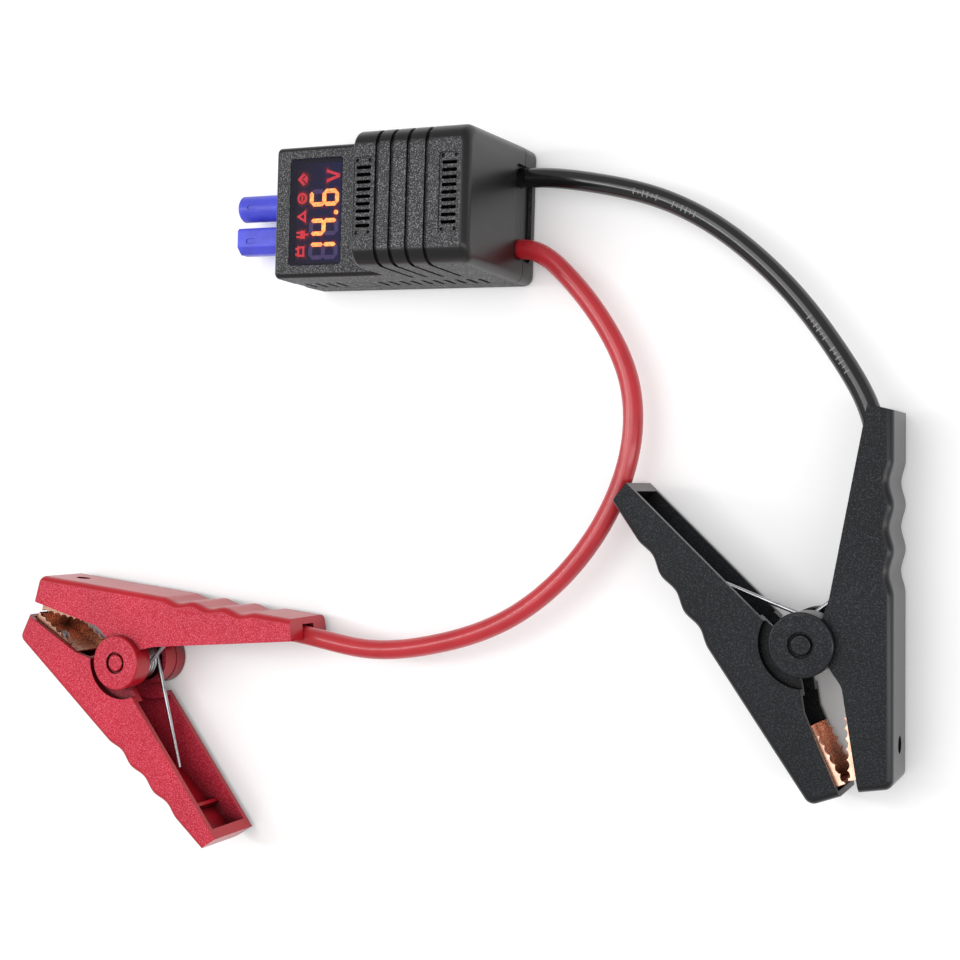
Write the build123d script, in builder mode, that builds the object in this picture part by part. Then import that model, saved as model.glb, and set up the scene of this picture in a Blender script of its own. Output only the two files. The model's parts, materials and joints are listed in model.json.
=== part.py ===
"""Smart jump lead for starting a car from a battery pack.

A blue two-barrel plug feeds a black electronics module with a voltage display. Two heavy
cables, one black and one red, leave the other end of the module, and each ends in a sprung
battery clamp. The lead lies flat on a bench.

Frame: millimetres, +X along the module from the plug to the cables, +Z up, with the origin
at the centre of the module's underside. Each clamp is modelled in its own plane, with its
pivot at the origin, +X towards the handle ends, the cable's jaw on the -Y side and z = 0 at
half thickness. It is then laid on the bench. The red clamp lies turned over.
"""

import os
from math import cos, pi, radians, sin

from build123d import *

# ---------------------------------------------------------------- module: driving dimensions
LENGTH = 81.0
WIDTH = 45.0
DISPLAY_TOP = 32.5
TOWER_TOP = 53.5
PARTING = 10.0
WALL = 2.2
DRAFT = 0.03
STEP_X = 0.5
TOWER_ROUND = 6.5
DISPLAY_ROUND = 2.0
END_ROUND = 3.2
FRONT_ROUND = 1.6
LEFT = -LENGTH / 2
RIGHT = LENGTH / 2

WINDOW = (19.8, 35.4, 1.6)
WINDOW_X = -24.8
WINDOW_LEDGE = 1.2
GROOVE_X = (9.3, 14.4, 20.2, 26.5)
GROOVE_WIDTH = 1.3
GROOVE_DEPTH = 1.0
GROOVE_FOOT = 27.0
VENT_X = (4.6, 34.2)
VENT_PITCH = 2.26
VENT_COUNT = 9
VENT_SLOT = (5.1, 1.1)
SIDE_SLOT = (8.4, 1.5)
SIDE_SLOT_Z = 16.4
SIDE_SLOT_PITCH = 4.1
SIDE_SLOT_GROUPS = ((-31.0, 5), (11.4, 10))
SIDE_TAB = (-14.6, 15.5, 7.5, 9.0)

AXIS_Z = 10.5
CABLE_Y = 11.6
CABLE_R = 3.2
CORE_R = 1.6
PLUG_Y = 5.9
BARREL_R = 4.6
BARREL_TIP = -67.1
PLUG_BLOCK = (-49.5, -37.0, 22.0, 11.0)
KEY_CUT = 2.4
CONTACT_BORE_R = 2.5
CONTACT_R = 3.3
CONTACT_LENGTH = 14.0
RECESS = (31.0, 6.8, 1.2)

# Display: digit height, width and bar thickness, and where each digit and icon stands.
DISPLAY_FACE = DISPLAY_TOP - WINDOW[2] - 0.4
DISPLAY_DEPTH = 5.0
DIGIT = (11.0, 5.6, 1.35)
DIGIT_X = -22.6
DIGITS = ((-12.8, "bc"), (-4.9, "bcfg"), (4.8, "acdefg"))
SEGMENTS = "abcdefg"
SEGMENT_THICK = 0.3
SEGMENT_GAP = 0.25
SEGMENT_LIFT = 0.02
POINT = (4.6, -0.2, 0.75)
UNIT_MARK = (3.2, 11.9)
ICON_X = -31.1
ICON_Y = (-12.8, -7.2, -1.2, 4.9, 11.2)
PIN_GRID = (10.2, 2.54, 2, 7)
PIN_WIRE_R = 0.35

# Screw pillars and board posts are given as x, y and radius.
PILLAR = (34.8, 18.0, 2.8)
PILLAR_TOP = 24.0
POST = (26.0, 17.4, 2.1)
BOARD = (62.0, 39.0, 1.6)
BOARD_Z = 18.0
BAR = (34.8, 5.0, 28.0, 2.8)
BAR_SCREW_R = 1.25
BAR_SEAT = (3.0, 3.0)
RELAY_X = 17.2
RELAY = (27.0, 25.0, 1.5)
CHIP = ((-5.0, 0.0), (8.0, 8.0), 1.4)
TRANSISTOR_Y = (-10.6, 0.0, 10.6)
TRANSISTOR = ((9.0, 9.0), 4.4)
CAN_X = -5.5
CAN_Y = (-13.0, 13.0)
CAN_R = 3.9
CAN_HIGH = 9.9
CAN_NECK = 1.8
TAB_LEFT = (-36.6, -29.0)
TAB_RIGHT = (23.0, 16.0)
TAB_SHEET = 1.2
TAB_WIDE = 5.0
INNER_SHEATH_X = (26.0, RIGHT - 1.0)
INNER_CORE_X = (18.0, RIGHT - 1.0)

# Screws: length, head radius, shank radius and head height.
COVER_SCREW = (17.0, 2.5, 1.5, 2.4)
BOARD_SCREW = (8.0, 2.0, 1.0, 1.4)
BAR_SCREW = (11.0, 2.2, BAR_SCREW_R, 1.5)
COUNTERBORE = (1.6, 2.65, 3.2)

GAP = 0.05
SHEATH_GAP = 0.1
SHEATH_END_GAP = 0.4

# ----------------------------------------------------------------- clamp: driving dimensions
HALF = 11.8
SHELL = 2.0
DISC_R = 9.6
DISC_TOP = 14.7
RECESS_R = 13.2
EAR_R = 9.4
EAR_FLOOR = 8.8
EAR_CLEARANCE = 0.2
EAR_THICK = 2.0
CUP_Z = 2.6
CUP_WALL = 1.7
PIN_R = 3.0
PIN_ROUND = 0.6
RUNNING = 0.05
SPINE_ROUND = 2.3
CORNER_ROUND = 3.0
GRIP_DIP = 1.3
GRIP_PITCH = 13.0
GRIP_START = 14.0
GRIP_COUNT = 3
CABLE_ENTRY = 7.2

TIP_FIXED = (-43.2, -20.1)
HEEL_FIXED = (63.6, -34.4)
TIP_MOVING = (-46.7, 4.6)
HEEL_MOVING = (48.4, 53.0)

LINER_LENGTH = 18.0
LINER_DEPTH = 7.0
LINER_SHEET = 0.8
LINER_HALF = 9.6
LINER_ROOT = 2.0
LINER_TEETH = 6
LINER_TIP_GAP = 0.15
FIXED_LINER_ANGLE = radians(2.5)
MOVING_LINER_ANGLE = radians(16.2)
FIXED_LINER = Plane((-40.2, -7.25, 0), (cos(FIXED_LINER_ANGLE), sin(FIXED_LINER_ANGLE), 0), (0, 0, -1))
MOVING_LINER = Plane((-40.9, -6.85, 0), (cos(MOVING_LINER_ANGLE), sin(MOVING_LINER_ANGLE), 0), (0, 0, 1))
RIVET_U = 7.5
RIVET_R = 1.2
ACCESS_R = 2.6

COIL_R = 6.4
WIRE_R = 0.7
COIL_LOW = -5.95
COIL_HIGH = 1.7
COIL_TURNS = 4.0 + 302.0 / 360.0
LEG_FIXED = (30.0, 30.0)
LEG_MOVING = 41.0

# Where the two clamps lie on the bench, and how the cables run to them.
BLACK_ANGLE = radians(99.25)
RED_ANGLE = radians(-12.38)
CLAMP_PLANES = {
    "black": Plane((139.5, -131.6, DISC_TOP), (cos(BLACK_ANGLE), sin(BLACK_ANGLE), 0), (0, 0, 1)),
    "red": Plane((-103.8, -155.9, DISC_TOP), (cos(RED_ANGLE), sin(RED_ANGLE), 0), (0, 0, -1)),
}
EXIT_X = RIGHT + 1.9  # where each lead starts to flex, just outside the end wall
CABLE_LAY = {
    "black": ((66.5, 8.4, 11.3), (87.0, 2.8, 12.0), (104.0, -5.6, 12.7), (120.0, -17.7, 13.3),
              (134.0, -32.0, 13.8), (146.0, -48.0, 14.3), (154.2, -62.4, 14.6)),
    "red": ((56.5, -20.5, 11.0), (70.0, -36.5, 11.5), (79.0, -54.5, 12.0), (80.6, -73.0, 12.5),
            (74.5, -94.5, 13.1), (61.0, -115.0, 13.6), (39.5, -132.5, 14.1), (14.0, -142.0, 14.5),
            (-10.0, -145.2, 14.7), (-32.3, -142.6, 14.7)),
}
HANDLE_RUN = ((52.0, -26.6, 0), (34.0, -23.4, 0), (16.0, -19.9, 0), (3.0, -18.0, 0))
LUG_X = (-3.0, -12.0)
CORE_TAIL = 14.0
LUG_Y = -18.0


def half_width(z):
    """Half width of the module at height z, with the moulding draft."""
    return WIDTH / 2 - DRAFT * max(z - PARTING, 0)


def save(piece, name):
    """Label one finished piece and write it as its own STEP file."""
    piece.label = name
    export_step(piece, f"parts/{name}.step")


# ------------------------------------------------------------------------------ module shells
def section_block(x0, x1, top, round_r, inset=0.0):
    """One straight length of the upper shell, with its two long top edges rounded."""
    z_top = top - inset
    low = half_width(0) - inset
    high = half_width(z_top) - inset
    with BuildPart() as block:
        with BuildSketch(Plane.YZ.offset(x0)):
            Polygon((-low, PARTING), (low, PARTING), (high, z_top), (-high, z_top), align=None)
        extrude(amount=x1 - x0)
        long_edges = block.edges().filter_by(Axis.X).group_by(Axis.Z)[-1]
        fillet(long_edges, max(round_r - inset, 0.6))
    return block


def end_edges(block, x):
    """The edges around an end face, apart from its bottom edge."""
    edges = block.edges().filter_by_position(Axis.X, x - 0.01, x + 0.01)
    return [edge for edge in edges if edge.center().Z > PARTING + 0.1]


def groove_cutter():
    """The four shallow grooves that run over the tower and down both of its sides."""
    outer = section_block(STEP_X, RIGHT, TOWER_TOP, TOWER_ROUND, -1.0).part
    inner = section_block(STEP_X, RIGHT, TOWER_TOP, TOWER_ROUND, GROOVE_DEPTH).part
    with BuildPart() as slabs:
        with Locations([(x, 0, GROOVE_FOOT) for x in GROOVE_X]):
            Box(GROOVE_WIDTH, 2 * WIDTH, 2 * TOWER_TOP, align=(Align.CENTER, Align.CENTER, Align.MIN))
    with BuildPart() as cutter:
        add(outer)
        add(inner, mode=Mode.SUBTRACT)
        add(slabs.part, mode=Mode.INTERSECT)
    return cutter.part


def make_top_cover():
    """Deep upper shell: low display half, tall ribbed tower, vents and screw pillars."""
    display = section_block(LEFT, RIGHT - 20, DISPLAY_TOP, DISPLAY_ROUND)
    tower = section_block(STEP_X, RIGHT, TOWER_TOP, TOWER_ROUND)
    display_room = section_block(LEFT + WALL, RIGHT - 20, DISPLAY_TOP, DISPLAY_ROUND, WALL)
    tower_room = section_block(STEP_X + WALL, RIGHT - WALL, TOWER_TOP, TOWER_ROUND, WALL)
    grooves = groove_cutter()
    openings = end_openings()
    with BuildPart() as left:
        add(display.part)
        fillet(end_edges(left, LEFT), FRONT_ROUND)
    with BuildPart() as right:
        add(tower.part)
        fillet(end_edges(right, RIGHT), END_ROUND)
        fillet([e for e in end_edges(right, STEP_X) if e.center().Z > DISPLAY_TOP - 5], 1.4)
    with BuildPart() as cover:
        add(left.part)
        add(right.part)
        add(grooves, mode=Mode.SUBTRACT)
        add(display_room.part, mode=Mode.SUBTRACT)
        add(tower_room.part, mode=Mode.SUBTRACT)
        # display window: a ledge that carries the lens, and the opening inside it
        with BuildSketch(Plane.XY.offset(DISPLAY_TOP)):
            with Locations((WINDOW_X, 0)):
                RectangleRounded(WINDOW[0], WINDOW[1], 1.0)
        extrude(amount=-WINDOW[2], mode=Mode.SUBTRACT)
        with BuildSketch(Plane.XY.offset(DISPLAY_TOP)):
            with Locations((WINDOW_X, 0)):
                Rectangle(WINDOW[0] - 2 * WINDOW_LEDGE, WINDOW[1] - 2 * WINDOW_LEDGE)
        extrude(amount=-2 * WALL, mode=Mode.SUBTRACT)
        # vents in the tower's roof, each a sunk panel with slots and four pin marks
        with BuildSketch(Plane.XY.offset(TOWER_TOP)):
            with Locations([(x, 0) for x in VENT_X]):
                RectangleRounded(6.6, 24.4, 0.8)
        extrude(amount=-0.4, mode=Mode.SUBTRACT)
        with BuildSketch(Plane.XY.offset(TOWER_TOP)):
            for x in VENT_X:
                with Locations((x, 0)):
                    with GridLocations(0, VENT_PITCH, 1, VENT_COUNT):
                        SlotOverall(*VENT_SLOT)
        extrude(amount=-2 * WALL, mode=Mode.SUBTRACT)
        with BuildSketch(Plane.XY.offset(TOWER_TOP - 0.4)):
            for x in VENT_X:
                with Locations((x, 0)):
                    with GridLocations(4.4, 22.4, 2, 2):
                        Circle(0.6)
        extrude(amount=-0.7, mode=Mode.SUBTRACT)
        # a row of upright slots low on both long sides, with a plain framed tab between
        for side in (-1, 1):
            wall = Plane.XZ.offset(-side * (WIDTH / 2 - WALL - 0.25))
            with BuildSketch(wall):
                for start, count in SIDE_SLOT_GROUPS:
                    with Locations((start, SIDE_SLOT_Z)):
                        with GridLocations(SIDE_SLOT_PITCH, 0, count, 1):
                            SlotOverall(*SIDE_SLOT, rotation=90)
            extrude(amount=-side * 5, mode=Mode.SUBTRACT)
            skin = Plane.XZ.offset(-side * (half_width(SIDE_SLOT_Z) - 0.35))
            with BuildSketch(skin):
                with Locations((SIDE_TAB[0], SIDE_TAB[1])):
                    RectangleRounded(SIDE_TAB[2], SIDE_TAB[3], 0.8)
                    RectangleRounded(SIDE_TAB[2] - 0.9, SIDE_TAB[3] - 0.9, 0.5, mode=Mode.SUBTRACT)
            extrude(amount=-side * 3, mode=Mode.SUBTRACT)
        # screw pillars
        with BuildSketch(Plane.XY.offset(PARTING + GAP)):
            with GridLocations(2 * PILLAR[0], 2 * PILLAR[1], 2, 2):
                Circle(PILLAR[2])
        extrude(amount=PILLAR_TOP - PARTING)
        with BuildSketch(Plane.XY.offset(PARTING)):
            with GridLocations(2 * PILLAR[0], 2 * PILLAR[1], 2, 2):
                Circle(1.5 + GAP)
        extrude(amount=12, mode=Mode.SUBTRACT)
        add(openings, mode=Mode.SUBTRACT)
    return cover.part


def end_openings():
    """The plug's port, the sunk panel round the cables and the two cable holes, as cutters."""
    block_y, block_z = PLUG_BLOCK[2:]
    with BuildPart() as cutter:
        with BuildSketch(Plane.YZ.offset(LEFT - 1)):
            with Locations((0, AXIS_Z)):
                Rectangle(block_y + 4 * GAP, block_z + 4 * GAP)
        extrude(amount=WALL + 1 + GAP)
        with BuildSketch(Plane.YZ.offset(RIGHT - RECESS[2])):
            with Locations((0, AXIS_Z)):
                RectangleRounded(RECESS[0], 2 * RECESS[1], 2.5)
        extrude(amount=5)
        with BuildSketch(Plane.YZ.offset(RIGHT - 5)):
            with Locations((-CABLE_Y, AXIS_Z), (CABLE_Y, AXIS_Z)):
                Circle(CABLE_R + 2 * GAP)
        extrude(amount=10)
    return cutter.part


def plan_face(inset):
    """Outline of the lower shell in plan, with the corner radii of the upper shell."""
    with BuildSketch() as outline:
        Rectangle(LENGTH - 2 * inset, WIDTH - 2 * inset)
        fillet(outline.vertices().group_by(Axis.X)[0], max(FRONT_ROUND - inset, 0.5))
        fillet(outline.vertices().group_by(Axis.X)[-1], max(END_ROUND - inset, 0.8))
    return outline.sketch


def make_bottom_cover():
    """Shallow lower tray with screw bosses, board posts and saddles for the cables."""
    outer = plan_face(0)
    inner = plan_face(WALL)
    shoulder = plan_face(0.4)
    openings = end_openings()
    with BuildPart() as tray:
        with BuildSketch():
            add(outer)
        extrude(amount=PARTING)
        fillet(tray.faces().sort_by(Axis.Z)[0].edges(), 1.4)
        with BuildSketch(Plane.XY.offset(WALL)):
            add(inner)
        extrude(amount=PARTING, mode=Mode.SUBTRACT)
        # shadow line along the joint
        with BuildSketch(Plane.XY.offset(PARTING - 0.3)):
            add(outer)
            add(shoulder, mode=Mode.SUBTRACT)
        extrude(amount=1, mode=Mode.SUBTRACT)
        with BuildSketch(Plane.XY.offset(WALL)):
            with GridLocations(2 * PILLAR[0], 2 * PILLAR[1], 2, 2):
                Circle(PILLAR[2])
        extrude(amount=PARTING - WALL)
        with BuildSketch(Plane.XY.offset(WALL)):
            with GridLocations(2 * POST[0], 2 * POST[1], 2, 2):
                Circle(POST[2])
        extrude(amount=BOARD_Z - WALL)
        with BuildSketch(Plane.XY.offset(BOARD_Z)):
            with GridLocations(2 * POST[0], 2 * POST[1], 2, 2):
                Circle(1.0 + GAP)
        extrude(amount=-8, mode=Mode.SUBTRACT)
        # cable saddle rib and the boss for the clamp bar's screw
        with BuildSketch(Plane.XY.offset(WALL)):
            with Locations((BAR[0], 0)):
                Rectangle(BAR_SEAT[0], BAR[2])
        extrude(amount=AXIS_Z - WALL - 0.2)
        with BuildSketch(Plane.XY.offset(WALL)):
            with Locations((BAR[0], 0)):
                Circle(BAR_SEAT[1])
        extrude(amount=AXIS_Z + CABLE_R - WALL)
        with BuildSketch(Plane.XY.offset(AXIS_Z + CABLE_R)):
            with Locations((BAR[0], 0)):
                Circle(BAR_SCREW_R + GAP)
        extrude(amount=-9, mode=Mode.SUBTRACT)
        with BuildSketch(Plane.YZ.offset(BAR[0] - 5)):
            with Locations((-CABLE_Y, AXIS_Z), (CABLE_Y, AXIS_Z)):
                Circle(CABLE_R + 2 * GAP)
        extrude(amount=10, mode=Mode.SUBTRACT)
        # counterbored screw holes from below
        with Locations(Plane.XY.rotated((180, 0, 0))):
            with GridLocations(2 * PILLAR[0], 2 * PILLAR[1], 2, 2):
                CounterBoreHole(*COUNTERBORE)
        add(openings, mode=Mode.SUBTRACT)
    return tray.part


# ------------------------------------------------------------------------- module: inner parts
def make_screws(points, head_z, size, up=True):
    """A group of equal pan-head screws, each with a cross recess in its head."""
    length, head_r, shank_r, head_height = size
    sign = 1 if up else -1
    with BuildPart() as screws:
        for x, y in points:
            with BuildSketch(Plane.XY.offset(head_z)):
                with Locations((x, y)):
                    Circle(head_r)
            extrude(amount=sign * head_height, taper=12)
            with BuildSketch(Plane.XY.offset(head_z)):
                with Locations((x, y)):
                    Circle(shank_r)
            extrude(amount=-sign * length)
            with BuildSketch(Plane.XY.offset(head_z + sign * head_height)):
                with Locations((x, y)):
                    Rectangle(1.4 * head_r, 0.32 * head_r)
                    Rectangle(0.32 * head_r, 1.4 * head_r)
            extrude(amount=-sign * 0.5 * head_height, mode=Mode.SUBTRACT)
    return screws.part


def corner_points(x, y):
    """The four corners at plus and minus x and y."""
    return [(sx * x, sy * y) for sx in (-1, 1) for sy in (-1, 1)]


def make_board():
    """Circuit board with its four fixing holes."""
    with BuildPart() as board:
        with BuildSketch(Plane.XY.offset(BOARD_Z + GAP)):
            Rectangle(BOARD[0], BOARD[1])
            with GridLocations(2 * POST[0], 2 * POST[1], 2, 2):
                Circle(1.1, mode=Mode.SUBTRACT)
        extrude(amount=BOARD[2])
    return board.part


def make_relay():
    """Sealed cube relay, with a raised rim on its lid."""
    base = BOARD_Z + BOARD[2] + 2 * GAP
    side, height, corner = RELAY
    with BuildPart() as relay:
        with BuildSketch(Plane.XY.offset(base)):
            with Locations((RELAY_X, 0)):
                RectangleRounded(side, side, corner)
        extrude(amount=height)
        fillet(relay.faces().sort_by(Axis.Z)[-1].edges(), 0.8)
        with BuildSketch(Plane.XY.offset(base + height)):
            with Locations((RELAY_X, 0)):
                RectangleRounded(side - 7, side - 7, 1.0)
        extrude(amount=-0.5, mode=Mode.SUBTRACT)
    return relay.part


def make_group(base, height, places, size, round_r=0.3):
    """A group of equal flat packages standing on the board."""
    with BuildPart() as group:
        for x, y in places:
            with BuildSketch(Plane.XY.offset(base)):
                with Locations((x, y)):
                    RectangleRounded(size[0], size[1], round_r)
            extrude(amount=height)
    return group.part


def make_capacitors(base):
    """Two radial electrolytic capacitors with a crimped neck and a scored top."""
    wall = CAN_X + CAN_R
    neck = base + CAN_NECK
    top = base + CAN_HIGH
    with BuildPart() as cans:
        for y in CAN_Y:
            with BuildSketch(Plane.XZ.offset(-y)):
                with BuildLine():
                    Polyline((CAN_X, base), (wall, base), (wall, neck - 0.4), (wall - 0.4, neck),
                             (wall, neck + 0.4), (wall, top - 0.5), (wall - 0.5, top), (CAN_X, top),
                             close=True)
                make_face()
            revolve(axis=Axis((CAN_X, y, 0), (0, 0, 1)))
            with BuildSketch(Plane.XY.offset(top)):
                with Locations((CAN_X, y)):
                    Rectangle(5.0, 0.4)
                    Rectangle(0.4, 5.0)
            extrude(amount=-0.3, mode=Mode.SUBTRACT)
    return cans.part


def make_tabs():
    """Copper tabs that carry the current up from the plug and the cables to the board."""
    low = AXIS_Z + 2.4
    top = BOARD_Z - GAP
    places = ((TAB_LEFT, PLUG_Y), (TAB_LEFT, -PLUG_Y), (TAB_RIGHT, CABLE_Y), (TAB_RIGHT, -CABLE_Y))
    with BuildPart() as tabs:
        for (foot, head), y in places:
            inner = head - TAB_SHEET if head > foot else head + TAB_SHEET
            with BuildSketch(Plane.XZ.offset(-y)):
                with BuildLine():
                    Polyline((foot, low), (head, low), (head, top), (inner, top), (inner, low + TAB_SHEET),
                             (foot, low + TAB_SHEET), close=True)
                make_face()
            extrude(amount=TAB_WIDE / 2, both=True)
    return tabs.part


# ------------------------------------------------------------------------------------ display
def segment_bar(name, x, y):
    """One bar of a digit. The digit's top points to -X and it reads along +Y."""
    tall, wide, thick = DIGIT
    reach_x = (tall - thick) / 2
    reach_y = (wide - thick) / 2
    places = {
        "a": (-reach_x, 0, False), "g": (0, 0, False), "d": (reach_x, 0, False),
        "f": (-reach_x / 2, -reach_y, True), "b": (-reach_x / 2, reach_y, True),
        "e": (reach_x / 2, -reach_y, True), "c": (reach_x / 2, reach_y, True),
    }
    dx, dy, upright = places[name]
    length = (reach_x if upright else 2 * reach_y) - SEGMENT_GAP
    half, tip = thick / 2, length / 2
    with Locations(Location((x + dx, y + dy, 0), (0, 0, 0 if upright else 90))):
        Polygon((-tip, 0), (-tip + half, half), (tip - half, half), (tip, 0), (tip - half, -half),
                (-tip + half, -half))


def make_segments(lit):
    """The lit or the unlit bars of the three digits."""
    with BuildPart() as bars:
        with BuildSketch(Plane.XY.offset(DISPLAY_FACE + SEGMENT_LIFT)):
            for y, lit_names in DIGITS:
                for name in SEGMENTS:
                    if (name in lit_names) == lit:
                        segment_bar(name, DIGIT_X, y)
            if lit:
                with Locations((DIGIT_X + POINT[0], POINT[1])):
                    Circle(POINT[2])
        extrude(amount=SEGMENT_THICK)
    return bars.part


def make_unit_mark():
    """The letter V for volts, made of two slanted bars, on its side like the digits."""
    with BuildPart() as mark:
        with BuildSketch(Plane.XY.offset(DISPLAY_FACE + SEGMENT_LIFT)):
            with Locations((DIGIT_X + UNIT_MARK[0], UNIT_MARK[1])):
                Polygon((-2.4, -2.2), (2.4, -0.5), (2.4, 0.5), (-2.4, 2.2), (-2.4, 1.15), (1.3, 0),
                        (-2.4, -1.15), align=None)
        extrude(amount=SEGMENT_THICK)
    return mark.part


def make_icons():
    """Five plain status marks: battery, plug, warning, reversed poles and heat."""
    with BuildPart() as icons:
        with BuildSketch(Plane.XY.offset(DISPLAY_FACE + SEGMENT_LIFT)):
            battery, plug, warning, poles, heat = [(ICON_X, y) for y in ICON_Y]
            with Locations(battery):
                Rectangle(2.6, 3.4)
                Rectangle(1.4, 2.2, mode=Mode.SUBTRACT)
            with Locations((battery[0] - 1.65, battery[1] - 0.9), (battery[0] - 1.65, battery[1] + 0.9)):
                Rectangle(0.7, 0.7)
            with Locations((plug[0] + 0.5, plug[1])):
                Rectangle(1.6, 2.6)
            with Locations((plug[0] - 1.0, plug[1] - 0.7), (plug[0] - 1.0, plug[1] + 0.7)):
                Rectangle(1.6, 0.6)
            with Locations((plug[0] + 1.9, plug[1])):
                Rectangle(1.4, 0.6)
            with Locations(warning):
                Polygon((-1.9, 0), (1.6, 2.1), (1.6, -2.1), align=None)
                Polygon((-0.7, 0), (1.0, 1.0), (1.0, -1.0), align=None, mode=Mode.SUBTRACT)
            with Locations(poles):
                Circle(1.8)
                Circle(1.15, mode=Mode.SUBTRACT)
                Rectangle(0.5, 1.7)
            with Locations(heat):
                Polygon((-1.9, 0), (0.2, 2.0), (1.0, 1.6), (-0.6, 0), (1.0, -1.6), (0.2, -2.0), align=None)
                Polygon((0.1, 0), (1.6, 1.3), (1.9, 0), (1.6, -1.3), align=None)
        extrude(amount=SEGMENT_THICK)
    return icons.part


def make_display_block():
    """Display module under the window, with its row of pins down to the board."""
    with BuildPart() as block:
        with BuildSketch(Plane.XY.offset(DISPLAY_FACE)):
            with Locations((WINDOW_X, 0)):
                Rectangle(WINDOW[0] - 2 * WINDOW_LEDGE - 0.3, WINDOW[1] - 2 * WINDOW_LEDGE - 0.3)
        extrude(amount=-DISPLAY_DEPTH)
        with BuildSketch(Plane.XY.offset(DISPLAY_FACE - DISPLAY_DEPTH)):
            with Locations((WINDOW_X, 0)):
                with GridLocations(*PIN_GRID):
                    Circle(PIN_WIRE_R)
        extrude(amount=-(DISPLAY_FACE - DISPLAY_DEPTH - BOARD_Z - BOARD[2] - 2 * GAP))
    return block.part


def make_window():
    """Smoked lens, flush with the top of the cover."""
    with BuildPart() as lens:
        with BuildSketch(Plane.XY.offset(DISPLAY_TOP)):
            with Locations((WINDOW_X, 0)):
                RectangleRounded(WINDOW[0] - 2 * GAP, WINDOW[1] - 2 * GAP, 1.0)
        extrude(amount=-(WINDOW[2] - GAP))
        chamfer(lens.faces().sort_by(Axis.Z)[-1].edges(), 0.15)
    return lens.part


# --------------------------------------------------------------------------------------- plug
def make_plug_housing():
    """Blue plug: a block held in the module's end wall, and two barrels round the contacts."""
    block_x0, block_x1, block_y, block_z = PLUG_BLOCK
    with BuildPart() as plug:
        with BuildSketch(Plane.YZ.offset(block_x0)):
            with Locations((0, AXIS_Z)):
                RectangleRounded(block_y, block_z, 1.0)
        extrude(amount=block_x1 - block_x0)
        # the flange that stops it from being pulled out of the wall
        with BuildSketch(Plane.YZ.offset(LEFT + WALL + GAP)):
            with Locations((0, AXIS_Z)):
                Rectangle(block_y + 3, block_z + 3)
        extrude(amount=1.2)
        # round barrel
        with BuildSketch(Plane.YZ.offset(BARREL_TIP)):
            with Locations((PLUG_Y, AXIS_Z)):
                Circle(BARREL_R)
        extrude(amount=block_x0 - BARREL_TIP)
        # keyed barrel: square, with rounded corners and the two outer ones cut
        with BuildSketch(Plane.YZ.offset(BARREL_TIP)) as key:
            with Locations((-PLUG_Y, AXIS_Z)):
                Polygon((-BARREL_R + KEY_CUT, BARREL_R), (BARREL_R, BARREL_R), (BARREL_R, -BARREL_R),
                        (-BARREL_R + KEY_CUT, -BARREL_R), (-BARREL_R, -BARREL_R + KEY_CUT),
                        (-BARREL_R, BARREL_R - KEY_CUT), align=None)
            fillet(key.vertices(), 1.1)
        extrude(amount=block_x0 - BARREL_TIP)
        chamfer(plug.edges().filter_by_position(Axis.X, BARREL_TIP - 0.1, BARREL_TIP + 0.1), 0.6)
        with BuildSketch(Plane.YZ.offset(BARREL_TIP)):
            with Locations((PLUG_Y, AXIS_Z), (-PLUG_Y, AXIS_Z)):
                Circle(CONTACT_R + GAP)
        extrude(amount=block_x1 - BARREL_TIP, mode=Mode.SUBTRACT)
        # grip dimples on both barrels' upper sides
        with BuildSketch(Plane.XY.offset(AXIS_Z + BARREL_R - 0.35)):
            with Locations((BARREL_TIP + 6.0, PLUG_Y), (BARREL_TIP + 6.0, -PLUG_Y)):
                SlotOverall(4.0, 1.6)
        extrude(amount=2, mode=Mode.SUBTRACT)
    return plug.part


def make_contact(y):
    """Gold-plated female contact: a sprung sleeve in front and a solder cup behind."""
    front = BARREL_TIP + 1.0
    back = PLUG_BLOCK[1] - 0.4
    with BuildPart() as contact:
        with BuildSketch(Plane.YZ.offset(front)):
            with Locations((y, AXIS_Z)):
                Circle(CONTACT_R)
        extrude(amount=back - front)
        with BuildSketch(Plane.YZ.offset(front)):
            with Locations((y, AXIS_Z)):
                Circle(CONTACT_BORE_R)
        extrude(amount=CONTACT_LENGTH, mode=Mode.SUBTRACT)
        with BuildSketch(Plane.YZ.offset(back)):
            with Locations((y, AXIS_Z)):
                Circle(CORE_R + 0.8)
        extrude(amount=-8, mode=Mode.SUBTRACT)
    return contact.part


# ------------------------------------------------------------------------------------- cables
def cable_points(name):
    """Centre line of one cable outside the module, from its exit to the clamp's lug."""
    side = 1 if name == "black" else -1
    plane = CLAMP_PLANES[name]
    start = Vector(EXIT_X, side * CABLE_Y, AXIS_Z)
    handle = [plane.from_local_coords(point) for point in HANDLE_RUN]
    return [start, *[Vector(*point) for point in CABLE_LAY[name]], *handle]


def make_sheath(name):
    """Sheath of one cable outside the module, from the place where the lead flexes."""
    with BuildPart() as sheath:
        with BuildLine():
            path = Spline(*cable_points(name))
        with BuildSketch(Plane(origin=path @ 0, z_dir=path % 0)):
            Circle(CABLE_R)
        sweep(path=path)
    return sheath.part


def make_strands(name):
    """Bare strands of one cable, from the cut end of the sheath into the crimp of the lug."""
    end = Plane(origin=cable_points(name)[-1], z_dir=CLAMP_PLANES[name].x_dir * -1)
    with BuildPart() as strands:
        with BuildSketch(end.offset(SHEATH_END_GAP)):
            Circle(CORE_R)
        extrude(amount=CORE_TAIL - SHEATH_END_GAP)
    return strands.part


def make_tail(side, outer_r, inner_r, x0, x1):
    """The short length of sheath or core inside the module."""
    with BuildPart() as tail:
        with BuildSketch(Plane.YZ.offset(x0)):
            with Locations((side * CABLE_Y, AXIS_Z)):
                Circle(outer_r)
                if inner_r:
                    Circle(inner_r, mode=Mode.SUBTRACT)
        extrude(amount=x1 - x0)
    return tail.part


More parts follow.
